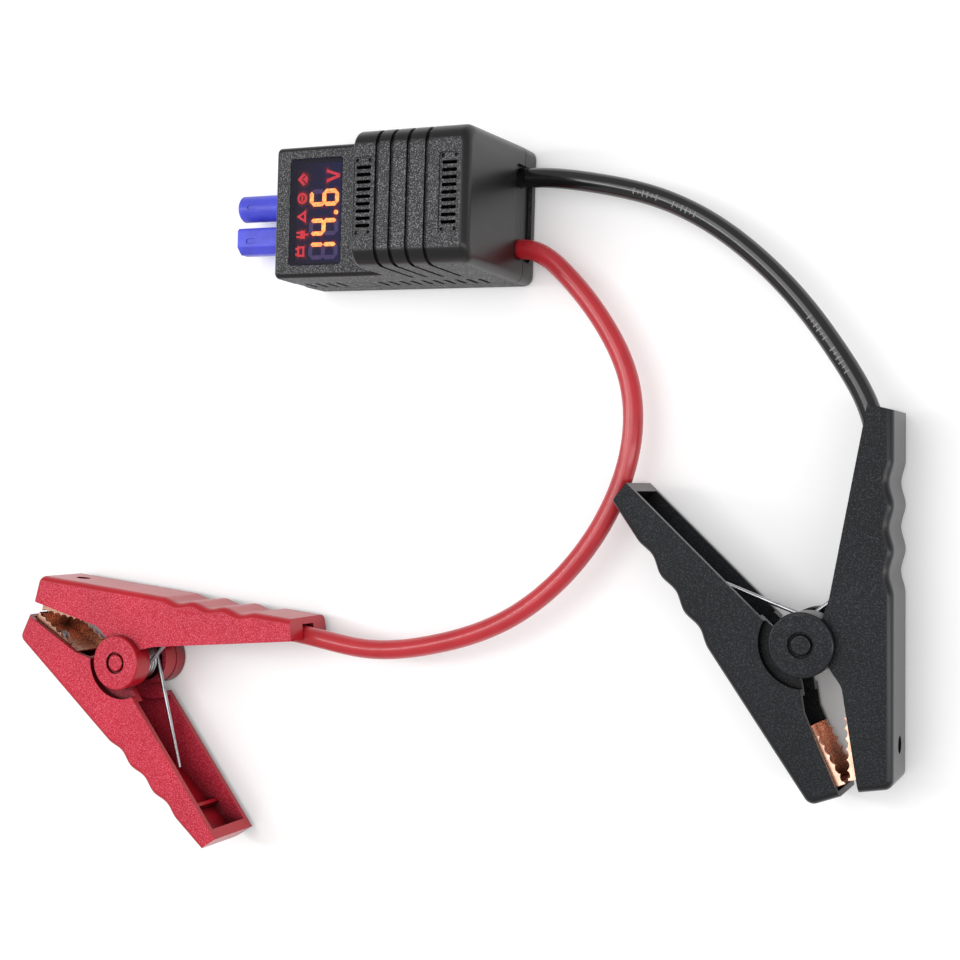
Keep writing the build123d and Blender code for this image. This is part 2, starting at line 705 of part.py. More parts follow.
# ------------------------------------------------------------------------------------- clamps
def spine(tip, heel, inset=0.0):
    """Points of a jaw's spine, from tip to heel, with finger dips in the handle.

    The dips are cosine waves cut into a straight line. With an inset the line is moved into
    the jaw and kept straight, clear of the dips, for the inside of the shell.
    """
    along = (Vector(*heel) - Vector(*tip)).normalized()
    inward = Vector(-along.Y, along.X) * (1 if tip[1] < 0 else -1)
    start, end = Vector(*tip), Vector(*heel)
    if inset:
        shift = inward * (inset + GRIP_DIP)
        return [start + shift + along * inset, end + inward * inset - along * inset]
    points = [start]
    for index in range(GRIP_COUNT, 0, -1):
        for phase in (1.0, 0.75, 0.5, 0.25):
            back = GRIP_START + (index - 1 + phase) * GRIP_PITCH
            dip = GRIP_DIP * (1 - cos(2 * pi * phase)) / 2
            points.append(end - along * back + inward * dip)
    points.append(end - along * GRIP_START)
    points.append(end)
    return points


def spine_lines(points):
    """Draw the spine: a straight run, the rippled grip as one curve, a straight run."""
    if len(points) == 2:
        Line(points[0], points[1])
        return
    along = (points[-1] - points[-2]).normalized()
    Line(points[0], points[1])
    Spline(*points[1:-1], tangents=(along, along))
    Line(points[-2], points[-1])


def fixed_outline(inset=0.0):
    """Side view of the fixed jaw, or of the room inside its shell when inset."""
    back = spine(TIP_FIXED, HEEL_FIXED, inset)
    with BuildSketch() as face:
        with BuildLine():
            spine_lines(back)
            if inset:
                Polyline(back[-1], (HEEL_FIXED[0] - inset + 1.0, 5), (TIP_FIXED[0] + inset, 5), back[0])
            else:
                Polyline(back[-1], (66.4, -27.4), (12.0, -9.2))
                Spline((12.0, -9.2), (7.6, -7.0), (3.0, -5.0))
                Line((3.0, -5.0), (-6.0, -5.0))
                Spline((-6.0, -5.0), (-9.4, -7.6), (-14.0, -9.6), tangents=((-0.3, -1), (-1, -0.1)))
                Polyline((-14.0, -9.6), (-43.6, -10.3), back[0])
        make_face()
        if not inset:
            corners = face.vertices()
            for point in (back[0], back[-1], Vector(66.4, -27.4)):
                fillet([corners.sort_by_distance(point)[0]], CORNER_ROUND)
    return face.sketch


def moving_outline(inset=0.0):
    """Side view of the moving jaw, or of the room inside its shell when inset."""
    back = spine(TIP_MOVING, HEEL_MOVING, inset)
    with BuildSketch() as face:
        with BuildLine():
            spine_lines(back)
            if inset:
                Polyline(back[-1], (60.0, 30.0), (10.0, -12.0), (-42.5, -12.0), back[0])
            else:
                Polyline(back[-1], (53.6, 47.5), (8.2, 10.9), (0, 4.0), (-12.0, 2.5), (-20.0, 2.3),
                         (-44.5, -4.8), back[0])
        make_face()
        if not inset:
            corners = face.vertices()
            for point in (back[0], back[-1], Vector(53.6, 47.5)):
                fillet([corners.sort_by_distance(point)[0]], CORNER_ROUND)
    return face.sketch


def outer_edges(block, tip, heel):
    """Edges of both side faces that run round the tip, along the spine and round the heel."""
    along = (Vector(*heel) - Vector(*tip)).normalized()
    outward = Vector(along.Y, -along.X) * (1 if tip[1] < 0 else -1)
    chosen = []
    for edge in block.edges():
        ends = edge.bounding_box()
        if abs(abs(edge.center().Z) - HALF) > 0.01 or ends.size.Z > 0.01:
            continue
        middle = edge @ 0.5
        distance = (Vector(middle.X, middle.Y) - Vector(*tip)).dot(outward)
        if distance > -3.4:
            chosen.append(edge)
    return chosen


def boss_seat(plane):
    """Plane on the back of a liner's floor, at its rivet, facing into the jaw."""
    centre = plane.from_local_coords((RIVET_U, LINER_DEPTH + GAP, 0))
    return Plane(centre, x_dir=plane.x_dir, z_dir=plane.y_dir)


def boss_bore(plane, depth):
    """The rivet's hole through a boss, and the wide access hole behind it."""
    seat = boss_seat(plane)
    with BuildPart() as bore:
        with BuildSketch(seat):
            Circle(RIVET_R + GAP)
        extrude(amount=depth)
        with BuildSketch(seat.offset(2.2)):
            Circle(ACCESS_R)
        extrude(amount=depth)
    return bore.part


def both_sides(z0, z1):
    """Planes and heights for a layer between z0 and z1 on both sides of the mid plane."""
    return ((Plane.XY.offset(z0), z1 - z0), (Plane.XY.offset(-z0), z0 - z1))


def make_fixed_jaw():
    """The jaw that holds the cable: a channel with an outer ear and a proud disc each side."""
    outline = fixed_outline()
    room = fixed_outline(SHELL)
    with BuildPart() as jaw:
        with BuildSketch(Plane.XY.offset(-HALF)):
            add(outline)
        extrude(amount=2 * HALF)
        fillet(outer_edges(jaw, TIP_FIXED, HEEL_FIXED), SPINE_ROUND)
        with BuildSketch(Plane.XY.offset(-HALF + SHELL)):
            add(room)
        extrude(amount=2 * (HALF - SHELL), mode=Mode.SUBTRACT)
        # cable notch in the heel
        with BuildSketch(Plane.XY.offset(-CABLE_ENTRY / 2)):
            with Locations((68.0, -22.2)):
                Rectangle(20.0, 20.0)
        extrude(amount=CABLE_ENTRY, mode=Mode.SUBTRACT)
        with BuildSketch(boss_seat(FIXED_LINER)):
            Circle(4.0)
        extrude(amount=5.4)
        add(boss_bore(FIXED_LINER, 12), mode=Mode.SUBTRACT)
        # ears: a disc on each side, proud of the side face, with a ring groove round the pin
        for plane, height in both_sides(EAR_FLOOR + EAR_CLEARANCE, DISC_TOP):
            with BuildSketch(plane):
                Circle(DISC_R)
            extrude(amount=height)
        fillet([e for e in jaw.edges().filter_by(GeomType.CIRCLE)
                if abs(abs(e.center().Z) - DISC_TOP) < 0.01 and e.radius > DISC_R - 0.1], 0.7)
        for plane, height in both_sides(DISC_TOP - 1.2, DISC_TOP + 1):
            with BuildSketch(plane):
                Circle(PIN_R + 0.85)
            extrude(amount=height, mode=Mode.SUBTRACT)
        Hole(PIN_R + GAP)
        # the throat, where the disc meets the mouth, stays clear of the moving ear
        for plane, height in both_sides(0, EAR_FLOOR + EAR_CLEARANCE):
            with BuildSketch(plane):
                Circle(RECESS_R - 1.2)
            extrude(amount=height, mode=Mode.SUBTRACT)
    return jaw.part


def make_moving_jaw():
    """The jaw squeezed by hand: a channel with sunk inner ears and cups for the spring."""
    outline = moving_outline()
    room = moving_outline(SHELL)
    with BuildSketch() as ear:
        add(outline)
        Circle(RECESS_R + SHELL, mode=Mode.INTERSECT)
        Circle(EAR_R)
    with BuildSketch() as rim:
        add(outline)
        Circle(RECESS_R + SHELL, mode=Mode.INTERSECT)
        Circle(RECESS_R, mode=Mode.SUBTRACT)
    with BuildPart() as jaw:
        with BuildSketch(Plane.XY.offset(-HALF)):
            add(outline)
        extrude(amount=2 * HALF)
        fillet(outer_edges(jaw, TIP_MOVING, HEEL_MOVING), SPINE_ROUND)
        with BuildSketch(Plane.XY.offset(-HALF + SHELL)):
            add(room)
        extrude(amount=2 * (HALF - SHELL), mode=Mode.SUBTRACT)
        for plane, height in both_sides(EAR_FLOOR, HALF + 1):
            with BuildSketch(plane):
                Circle(RECESS_R)
            extrude(amount=height, mode=Mode.SUBTRACT)
        for plane, height in both_sides(EAR_FLOOR - EAR_THICK, EAR_FLOOR):
            with BuildSketch(plane):
                add(ear.sketch)
            extrude(amount=height)
        for plane, height in both_sides(EAR_FLOOR - EAR_THICK, HALF - SHELL + 0.5):
            with BuildSketch(plane):
                add(rim.sketch)
            extrude(amount=height)
        # one long cup, beside the spring's coil
        with BuildSketch(Plane.XY.offset(CUP_Z)):
            Circle(EAR_R)
            Circle(EAR_R - CUP_WALL, mode=Mode.SUBTRACT)
        extrude(amount=EAR_FLOOR - EAR_THICK - CUP_Z + 0.1)
        with BuildSketch(boss_seat(MOVING_LINER)):
            Circle(4.0)
        extrude(amount=4.6)
        add(boss_bore(MOVING_LINER, 12), mode=Mode.SUBTRACT)
        # a low rib across the handle, near its end
        along = (Vector(*HEEL_MOVING) - Vector(*TIP_MOVING)).normalized()
        centre = Vector(*HEEL_MOVING) - along * 14 + Vector(along.Y, -along.X) * (SHELL + GRIP_DIP)
        with BuildSketch(Plane.XY.offset(-HALF + SHELL)):
            with Locations(Location((centre.X, centre.Y, 0), (0, 0, 27))):
                Rectangle(1.4, 3.6)
        extrude(amount=2 * (HALF - SHELL))
        Hole(PIN_R + RUNNING)
    return jaw.part


def make_pin():
    """Moulded pivot pin, a round button at each end inside the disc's ring groove."""
    with BuildPart() as pin:
        Cylinder(PIN_R, 2 * DISC_TOP)
        fillet(pin.edges().filter_by(GeomType.CIRCLE), PIN_ROUND)
    return pin.part


def make_spring():
    """Torsion spring round the pin, one leg reaching out to each jaw's spine."""
    first_degrees, first_leg = LEG_FIXED
    first = radians(first_degrees)
    last = first + 2 * pi * COIL_TURNS
    with BuildPart() as spring:
        with BuildLine(Plane.XY.offset(COIL_LOW).rotated((0, 0, first_degrees))) as coil:
            Helix((COIL_HIGH - COIL_LOW) / COIL_TURNS, COIL_HIGH - COIL_LOW, COIL_R)
        with BuildSketch(Plane(origin=coil.line @ 0, z_dir=coil.line % 0)):
            Circle(WIRE_R)
        sweep(path=coil.line, is_frenet=True)
        for angle, z, length, turn in ((first, COIL_LOW, first_leg, -1), (last, COIL_HIGH, LEG_MOVING, 1)):
            start = Vector(COIL_R * cos(angle), COIL_R * sin(angle), z)
            way = Vector(-turn * sin(angle), turn * cos(angle), 0)
            with BuildSketch(Plane(origin=start - way * WIRE_R, z_dir=way)):
                Circle(WIRE_R)
            extrude(amount=length + WIRE_R)
    return spring.part


def make_liner(plane):
    """Toothed copper channel inside one jaw, with a lip at the tip that meets its partner."""
    step = LINER_LENGTH / LINER_TEETH
    with BuildPart() as liner:
        # side view of a flange, with one scallop per tooth
        for z in (-LINER_HALF, LINER_HALF - LINER_SHEET):
            with BuildSketch(plane.offset(z)):
                with BuildLine():
                    points = []
                    for index in range(LINER_TEETH + 1):
                        u = index * step
                        points.append((u, LINER_TIP_GAP + LINER_ROOT * u / LINER_LENGTH))
                    for left, right in zip(points, points[1:]):
                        middle = ((left[0] + right[0]) / 2, (left[1] + right[1]) / 2 + 0.75)
                        ThreePointArc(left, middle, right)
                    Polyline(points[-1], (LINER_LENGTH, LINER_DEPTH), (0, LINER_DEPTH), points[0])
                make_face()
            extrude(amount=LINER_SHEET)
        # floor, and the lip at the tip
        with BuildSketch(plane.offset(-LINER_HALF)):
            with BuildLine():
                Polyline((0, LINER_TIP_GAP + 0.1), (LINER_SHEET, LINER_TIP_GAP + 0.3),
                         (LINER_SHEET, LINER_DEPTH - LINER_SHEET), (LINER_LENGTH, LINER_DEPTH - LINER_SHEET),
                         (LINER_LENGTH, LINER_DEPTH), (0, LINER_DEPTH), close=True)
            make_face()
        extrude(amount=2 * LINER_HALF)
        seat = Plane(plane.from_local_coords((RIVET_U, 0, 0)), x_dir=plane.x_dir, z_dir=plane.y_dir)
        with BuildSketch(seat):
            Circle(RIVET_R + GAP)
        extrude(amount=2 * LINER_DEPTH, mode=Mode.SUBTRACT)
    return liner.part


def make_rivet(plane):
    """Rivet through the liner's floor and the boss behind it, domed at both ends."""
    seat = Plane(plane.from_local_coords((RIVET_U, LINER_DEPTH, 0)), x_dir=plane.x_dir, z_dir=plane.y_dir)
    with BuildPart() as rivet:
        with BuildSketch(seat.offset(-LINER_SHEET - GAP)):
            Circle(2.2)
        extrude(amount=-0.9, taper=30)
        with BuildSketch(seat.offset(-LINER_SHEET - GAP)):
            Circle(RIVET_R)
        extrude(amount=LINER_SHEET + 2.4)
        with BuildSketch(seat.offset(2.2 + 2 * GAP)):
            Circle(2.3)
        extrude(amount=0.9, taper=30)
    return rivet.part


def make_lug():
    """Crimped lug: a barrel on the cable's core, and a tab under the liner's floor."""
    with BuildPart() as lug:
        with BuildSketch(Plane.YZ.offset(LUG_X[1])):
            with Locations((LUG_Y, 0)):
                Circle(2.7)
        extrude(amount=LUG_X[0] - LUG_X[1])
        with BuildSketch(Plane.XY.offset(-3.5)):
            with BuildLine():
                Polyline((LUG_X[1] + 0.5, LUG_Y - 0.5), (LUG_X[1] + 0.5, LUG_Y + 0.5), (-22.9, -13.95),
                         (-27.0, -14.35), (-27.0, -15.15), (-22.7, -14.95), close=True)
            make_face()
        extrude(amount=7.0)
        with BuildSketch(Plane.YZ.offset(LUG_X[1] + 1.0)):
            with Locations((LUG_Y, 0)):
                Circle(CORE_R + GAP)
        extrude(amount=20, mode=Mode.SUBTRACT)
        circles = lug.edges().filter_by(GeomType.CIRCLE)
        fillet(circles.filter_by_position(Axis.X, LUG_X[0] - 0.01, LUG_X[0] + 0.01), 0.3)
    return lug.part


# ---------------------------------------------------------------------------------- the build
def build_module():
    board_top = BOARD_Z + BOARD[2] + 2 * GAP
    save(make_top_cover(), "top_cover")
    save(make_bottom_cover(), "bottom_cover")
    save(make_window(), "display_window")
    save(make_display_block(), "display_block")
    save(make_segments(True), "display_lit_bars")
    save(make_segments(False), "display_unlit_bars")
    save(make_unit_mark(), "display_unit_mark")
    save(make_icons(), "display_icons")
    save(make_board(), "circuit_board")
    save(make_relay(), "relay")
    save(make_capacitors(board_top), "capacitors")
    chip_place, chip_size, chip_high = CHIP
    save(make_group(board_top, chip_high, [chip_place], chip_size), "control_chip")
    transistor_size, transistor_high = TRANSISTOR
    transistors = [(WINDOW_X, y) for y in TRANSISTOR_Y]
    save(make_group(board_top, transistor_high, transistors, transistor_size), "power_transistors")
    save(make_tabs(), "current_tabs")
    cover_screws = corner_points(PILLAR[0], PILLAR[1])
    save(make_screws(cover_screws, COUNTERBORE[2] - 0.1, COVER_SCREW, up=False), "cover_screws")
    board_screws = corner_points(POST[0], POST[1])
    save(make_screws(board_screws, board_top, BOARD_SCREW), "board_screws")
    bar_x, bar_wide, bar_long, bar_high = BAR
    bar_z = AXIS_Z + CABLE_R + GAP
    with BuildPart() as bar:
        with BuildSketch(Plane.XY.offset(bar_z)):
            with Locations((bar_x, 0)):
                RectangleRounded(bar_wide, bar_long, 1.2)
                Circle(1.4, mode=Mode.SUBTRACT)
        extrude(amount=bar_high)
    save(bar.part, "cable_clamp_bar")
    save(make_screws([(bar_x, 0)], bar_z + bar_high + GAP, BAR_SCREW), "cable_clamp_screw")
    save(make_plug_housing(), "plug_housing")
    save(make_contact(PLUG_Y), "negative_contact")
    save(make_contact(-PLUG_Y), "positive_contact")
    for name, side in (("black", 1), ("red", -1)):
        save(make_tail(side, CABLE_R, CORE_R + SHEATH_GAP, *INNER_SHEATH_X), f"{name}_inner_sheath")
        save(make_tail(side, CORE_R, 0, *INNER_CORE_X), f"{name}_inner_core")


def build_leads():
    pieces = {
        "fixed_jaw": make_fixed_jaw(),
        "moving_jaw": make_moving_jaw(),
        "pivot_pin": make_pin(),
        "jaw_spring": make_spring(),
        "fixed_liner": make_liner(FIXED_LINER),
        "moving_liner": make_liner(MOVING_LINER),
        "fixed_rivet": make_rivet(FIXED_LINER),
        "moving_rivet": make_rivet(MOVING_LINER),
        "cable_lug": make_lug(),
    }
    for name, plane in CLAMP_PLANES.items():
        for label, piece in pieces.items():
            save(piece.moved(plane.location), f"{name}_{label}")
        save(make_sheath(name), f"{name}_cable_sheath")
        save(make_strands(name), f"{name}_bare_strands")


os.makedirs("parts", exist_ok=True)
build_module()
build_leads()
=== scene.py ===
"""Looks of a smart jump lead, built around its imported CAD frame.

Lengths are metres, except where a name ends in MM.
"""
import json
import math

import bpy
import numpy as np
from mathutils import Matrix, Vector


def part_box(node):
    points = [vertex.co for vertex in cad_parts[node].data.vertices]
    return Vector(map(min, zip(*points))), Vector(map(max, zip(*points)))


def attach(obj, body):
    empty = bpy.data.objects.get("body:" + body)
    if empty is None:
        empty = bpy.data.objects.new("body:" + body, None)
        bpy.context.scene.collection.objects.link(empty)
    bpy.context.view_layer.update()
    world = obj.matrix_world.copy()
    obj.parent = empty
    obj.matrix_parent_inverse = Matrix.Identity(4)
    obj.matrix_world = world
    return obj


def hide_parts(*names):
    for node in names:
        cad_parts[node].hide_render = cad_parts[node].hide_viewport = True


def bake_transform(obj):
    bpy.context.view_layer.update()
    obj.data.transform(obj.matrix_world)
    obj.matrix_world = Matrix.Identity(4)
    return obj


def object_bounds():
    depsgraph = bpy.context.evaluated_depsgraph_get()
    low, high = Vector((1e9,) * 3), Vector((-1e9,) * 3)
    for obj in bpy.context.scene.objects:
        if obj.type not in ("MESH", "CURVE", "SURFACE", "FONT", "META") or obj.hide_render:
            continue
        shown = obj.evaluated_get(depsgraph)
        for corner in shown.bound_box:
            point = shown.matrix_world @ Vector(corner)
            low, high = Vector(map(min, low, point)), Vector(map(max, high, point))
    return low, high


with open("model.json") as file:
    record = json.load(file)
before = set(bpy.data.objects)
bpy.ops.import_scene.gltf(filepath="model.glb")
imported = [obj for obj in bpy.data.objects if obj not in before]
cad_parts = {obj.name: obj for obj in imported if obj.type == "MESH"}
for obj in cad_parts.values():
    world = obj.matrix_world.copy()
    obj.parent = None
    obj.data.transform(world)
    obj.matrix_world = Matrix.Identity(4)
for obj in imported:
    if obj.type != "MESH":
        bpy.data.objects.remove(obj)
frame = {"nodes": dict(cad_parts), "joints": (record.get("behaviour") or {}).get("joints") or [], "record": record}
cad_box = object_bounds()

MM = 0.001
UP = Vector((0, 0, 1))
JOINTS = {joint["name"]: joint for joint in frame["joints"]}
SLOT_OF = {part["node"]: part["material_slot"] for part in frame["record"]["subparts"]}

# ----------------------------------------------------------------------------------- sizes
CABLE_R = 3.22 * MM
CABLE_SIDES = 40
CABLE_STEP = 1.2 * MM
EXIT_START = 39.35 * MM         # the cable is seen from just inside the recess of the end wall
EXIT_STRAIGHT = 41.3 * MM
ROOT_END = 50.0 * MM            # where the root of a cable meets its rigid run

# Way points of the two cables on the bench, and of the run inside each clamp's handle.
CABLE_LAY_MM = {
    "black": ((66.5, 8.4, 11.3), (87.0, 2.8, 12.0), (104.0, -5.6, 12.7), (120.0, -17.7, 13.3),
              (134.0, -32.0, 13.8), (146.0, -48.0, 14.3), (154.2, -62.4, 14.6)),
    "red": ((56.5, -20.5, 11.0), (70.0, -36.5, 11.5), (79.0, -54.5, 12.0), (80.6, -73.0, 12.5),
            (74.5, -94.5, 13.1), (61.0, -115.0, 13.6), (39.5, -132.5, 14.1), (14.0, -142.0, 14.5),
            (-10.0, -145.2, 14.7), (-32.3, -142.6, 14.7)),
}
HANDLE_RUN_MM = ((52.0, -26.6, 0), (34.0, -23.4, 0), (16.0, -19.9, 0), (3.0, -18.0, 0))
CLAMP_ANGLE = {"black": math.radians(99.25), "red": math.radians(-12.38)}

MARK_GROUPS = (41 * MM, 55 * MM, 112 * MM, 124 * MM)     # distance along the black cable
MARK_COUNT = 6
MARK_PITCH = 1.6 * MM
MARK_LENGTH = 0.42 * MM
MARK_SIDE = math.radians(82)    # angle round the cable of a tick's middle
MARK_TURN = math.radians(34)    # how far round the cable a tick reaches
MARK_SPANS = 4                  # flat spans that make up a tick's curve
MARK_SHORT = 0.6                # every third tick is this much shorter
MARK_LIFT = 0.03 * MM
MARK_THICKNESS = 1.6 * MARK_LIFT

COIL_START = math.radians(30)
COIL_TURNS = 4.0 + 302.0 / 360.0
COIL_R_MM = 6.4
COIL_LOW_MM = -5.95
COIL_HIGH_MM = 1.7
COIL_STEPS = 40                 # points in one turn
FIXED_LEG_MM = 30.0
MOVING_LEG_MM = 41.0
LEG_STEPS = 12
WIRE_R = 0.7 * MM
WIRE_SIDES = 16

GLOW_STEP = 0.3 * MM
GLOW_REACH = 0.75 * MM
GLOW_LIFT = 0.06 * MM
GLOW_MARGIN = 0.6 * MM
GLOW_PEAK = 0.6

GRAIN = 0.4 * MM                # size of the grains in the spark-eroded moulding texture
EDGE_RADIUS = 0.3 * MM
CREASE_ANGLE = math.radians(28)
GRAIN_HEIGHT = 0.16 * MM
FLAT_SPAN = (0.95, 0.995)       # how square to an axis a face is where its texture starts and is full
END_SPAN = (0.85, 0.98)
CLOUD = 22 * MM                 # size of the faint cloudy patches in a moulded face
CORNER_REACH = 14 * MM          # how far from a corner its shade reaches
WELD_GAP = 0.002 * MM

FLOOR_LIFT = 0.12               # faint light of its own, so that the floor stays pale
FLOOR_HALF = 4.0
SKY_STRENGTH = 0.52

# Each softbox: its place from the object's middle, its two sides and its power.
SOFTBOXES = {
    "overhead": ((-0.1, 0.1, 1.0), (0.8, 0.8), 5.0),
    "left_strip": ((-0.75, 0.1, 0.7), (0.14, 1.0), 2.6),
    "right_strip": ((0.75, -0.1, 0.55), (0.12, 1.0), 2.0),
}
CAMERA_PLACE = Vector((240.219, -83.573, 472.405)) * MM
CAMERA_TURN = [math.radians(angle) for angle in (0.373, 24.703, 1.835)]
LENS = 57.89
SENSOR = 36.0


# ------------------------------------------------------------------------------ node helpers
def feed(tree, socket, value):
    """Link a socket to another socket, or set its value."""
    if isinstance(value, bpy.types.NodeSocket):
        tree.links.new(value, socket)
    elif hasattr(value, "__len__") and len(value) == 3 and socket.type == "RGBA":
        socket.default_value = (*value, 1.0)
    else:
        socket.default_value = value


def add(tree, kind, settings=None, **values):
    """Add a shader node. Inputs are named by keyword, with underscores for spaces."""
    made = tree.nodes.new("ShaderNode" + kind)
    for key, value in (settings or {}).items():
        setattr(made, key, value)
    for key, value in values.items():
        feed(tree, made.inputs[key.replace("_", " ")], value)
    return made


def mix_colour(tree, share, low, high):
    """The low colour where the share is 0, the high one where it is 1."""
    mix = add(tree, "Mix", {"data_type": "RGBA"})
    feed(tree, mix.inputs[0], share)
    feed(tree, mix.inputs[6], low)
    feed(tree, mix.inputs[7], high)
    return mix.outputs[2]


def calc(tree, operation, first, second=0.0):
    """One step of arithmetic on one or two values."""
    made = add(tree, "Math", {"operation": operation})
    feed(tree, made.inputs[0], first)
    feed(tree, made.inputs[1], second)
    return made.outputs[0]


def ramp(tree, value, low, high, out_low=0.0, out_high=1.0):
    """Spread the values from low to high evenly over the output range."""
    made = add(tree, "MapRange", Value=value, From_Min=low, From_Max=high, To_Min=out_low, To_Max=out_high)
    return made.outputs[0]


def coordinates(tree, stretch=(1, 1, 1)):
    place = add(tree, "TexCoord").outputs["Object"]
    return add(tree, "Mapping", Vector=place, Scale=stretch).outputs[0]


def noise(tree, size, detail=2.0, stretch=(1, 1, 1)):
    """Noise whose features are about the given size in metres."""
    made = add(tree, "TexNoise", Vector=coordinates(tree, stretch), Scale=1 / size, Detail=detail)
    return made.outputs[0]


def bump(tree, height, distance, strength, rounded=EDGE_RADIUS):
    """Surface relief from a height, with edges shaded as if rounded by the given radius."""
    made = add(tree, "Bump", Height=height, Distance=distance, Strength=strength)
    if rounded:
        tree.links.new(add(tree, "Bevel", {"samples": 4}, Radius=rounded).outputs[0], made.inputs["Normal"])
    return made.outputs[0]


def new_material(name):
    material = bpy.data.materials.new(name)
    material.use_nodes = True
    tree = material.node_tree
    return material, tree, tree.nodes["Principled BSDF"]


def dress(tree, skin, **values):
    """Set inputs of a material's main shader, named as in add."""
    for key, value in values.items():
        feed(tree, skin.inputs[key.replace("_", " ")], value)


# --------------------------------------------------------------------------------- materials
def shaded(tree, colour, reach, least):
    """Darken a colour inside channels and corners, where little light gets in."""
    open_share = add(tree, "AmbientOcclusion", {"samples": 8}, Distance=reach).outputs["AO"]
    return mix_colour(tree, ramp(tree, open_share, 0.25, 0.8, least, 1.0), (0, 0, 0), colour)


def facing(tree):
    """How far a face points along X, Y and Z."""
    return add(tree, "SeparateXYZ", Vector=add(tree, "TexCoord").outputs["Normal"]).outputs


def flat_share(tree, axes):
    """1 where a face is square to one of the given axes, falling to 0 on rounded edges."""
    towards = facing(tree)
    best = 0.0
    for axis in axes:
        best = calc(tree, "MAXIMUM", calc(tree, "ABSOLUTE", towards["XYZ".index(axis)]), best)
    return ramp(tree, best, *FLAT_SPAN)


def over_clear(tree, skin, share, front, tint=(1, 1, 1)):
    """Replace the skin by a tinted clear one, of which the front shader takes the given share."""
    clear = add(tree, "BsdfTransparent", Color=tint)
    mix = add(tree, "MixShader")
    feed(tree, mix.inputs[0], share)
    feed(tree, mix.inputs[1], clear.outputs[0])
    feed(tree, mix.inputs[2], front.outputs[0])
    tree.nodes.remove(skin)
    tree.links.new(mix.outputs[0], tree.nodes["Material Output"].inputs["Surface"])


def spark_plastic(name, flat, edge, speck, axes="XYZ", satin=None, cover=0.5, shine=0.3):
    """Moulded plastic: spark-eroded and matte on its flat faces, smoother on rounded edges.

    cover is the noise level above which a grain is bright, so a lower one gives more grains.
    With satin, the faces towards +X are smooth and take that colour.
    """
    material, tree, skin = new_material(name)
    share = flat_share(tree, axes)
    base = mix_colour(tree, share, edge, flat)
    if satin:
        end_face = ramp(tree, facing(tree)[0], *END_SPAN)
        base = mix_colour(tree, end_face, base, satin)
        share = calc(tree, "MULTIPLY", share, calc(tree, "SUBTRACT", 1.0, end_face))
    grains = noise(tree, GRAIN, 3.0)
    bright = calc(tree, "MULTIPLY", ramp(tree, noise(tree, GRAIN, 2.0), cover, cover + 0.2), share)
    cloudy = ramp(tree, noise(tree, CLOUD), 0.3, 0.7, 0.9, 1.1)
    base = mix_colour(tree, bright, base, speck)
    shade = add(tree, "HueSaturation", Value=cloudy, Color=base)
    rough = calc(tree, "SUBTRACT", ramp(tree, share, 0, 1, 0.3, 0.6), calc(tree, "MULTIPLY", bright, 0.25))
    dress(tree, skin, Base_Color=shaded(tree, shade.outputs[0], CORNER_REACH, 0.12), Roughness=rough)
    dress(tree, skin, Specular_IOR_Level=ramp(tree, share, 0, 1, 0.45, shine))
    strength = ramp(tree, share, 0, 1, 0.08, 0.9)
    dress(tree, skin, Normal=bump(tree, grains, GRAIN_HEIGHT, strength))
    return material


def sheath_rubber(name, colour, deep, rough):
    """Glossy cable sheath with the slight waviness of an extrusion."""
    material, tree, skin = new_material(name)
    base = mix_colour(tree, ramp(tree, noise(tree, 9 * MM), 0.35, 0.7), colour, deep)
    polish = ramp(tree, noise(tree, 2 * MM, 3.0), 0.3, 0.7, rough, rough + 0.08)
    waves = calc(tree, "ADD", noise(tree, 9 * MM), calc(tree, "MULTIPLY", noise(tree, 0.5 * MM), 0.01))
    dress(tree, skin, Base_Color=base, Roughness=polish, Normal=bump(tree, waves, 0.3 * MM, 0.25, 0))
    dress(tree, skin, Coat_Weight=0.3, Coat_Roughness=0.1)
    return material


def smooth_plastic(name, colour, rough=0.35, variation=0.15, soft=0.0):
    """Polished moulded plastic; with soft, a little light passes through it."""
    material, tree, skin = new_material(name)
    darker = tuple(channel * (1 - variation) for channel in colour)
    base = mix_colour(tree, ramp(tree, noise(tree, 4 * MM, 3.0), 0.35, 0.65), colour, darker)
    polish = ramp(tree, noise(tree, 1 * MM), 0.3, 0.7, rough, rough + 0.1)
    dress(tree, skin, Base_Color=base, Roughness=polish)
    dress(tree, skin, Normal=bump(tree, noise(tree, 0.5 * MM, 3.0), 0.03 * MM, 0.4))
    if soft:
        dress(tree, skin, Subsurface_Weight=soft, Subsurface_Scale=1.0)
        dress(tree, skin, Subsurface_Radius=(1 * MM, 1 * MM, 3 * MM))
    return material


def metal(name, colour, dark, rough, stretch=(1, 1, 1), line=0.3 * MM):
    """Bare metal with drawn or brushed streaks and a little tarnish."""
    material, tree, skin = new_material(name)
    streaks = noise(tree, line, 4.0, stretch)
    base = mix_colour(tree, ramp(tree, noise(tree, 3 * MM, 4.0), 0.4, 0.75), colour, dark)
    dress(tree, skin, Base_Color=shaded(tree, base, 8 * MM, 0.25), Metallic=1.0)
    dress(tree, skin, Roughness=ramp(tree, streaks, 0.3, 0.7, rough * 0.8, rough * 1.3))
    dress(tree, skin, Normal=bump(tree, streaks, 0.04 * MM, 0.35, 0.15 * MM))
    return material


def glowing(name, colour, strength, rim):
    """A mark that gives off light, bright in its middle, redder where noise thins the light. On the unlit bars
    this glow is painted light.
    """
    material, tree, skin = new_material(name)
    tone = mix_colour(tree, ramp(tree, noise(tree, 0.8 * MM), 0.35, 0.7), colour, rim)
    dress(tree, skin, Base_Color=(0.2, 0.05, 0.03), Roughness=0.5)
    dress(tree, skin, Emission_Color=tone, Emission_Strength=strength)
    return material


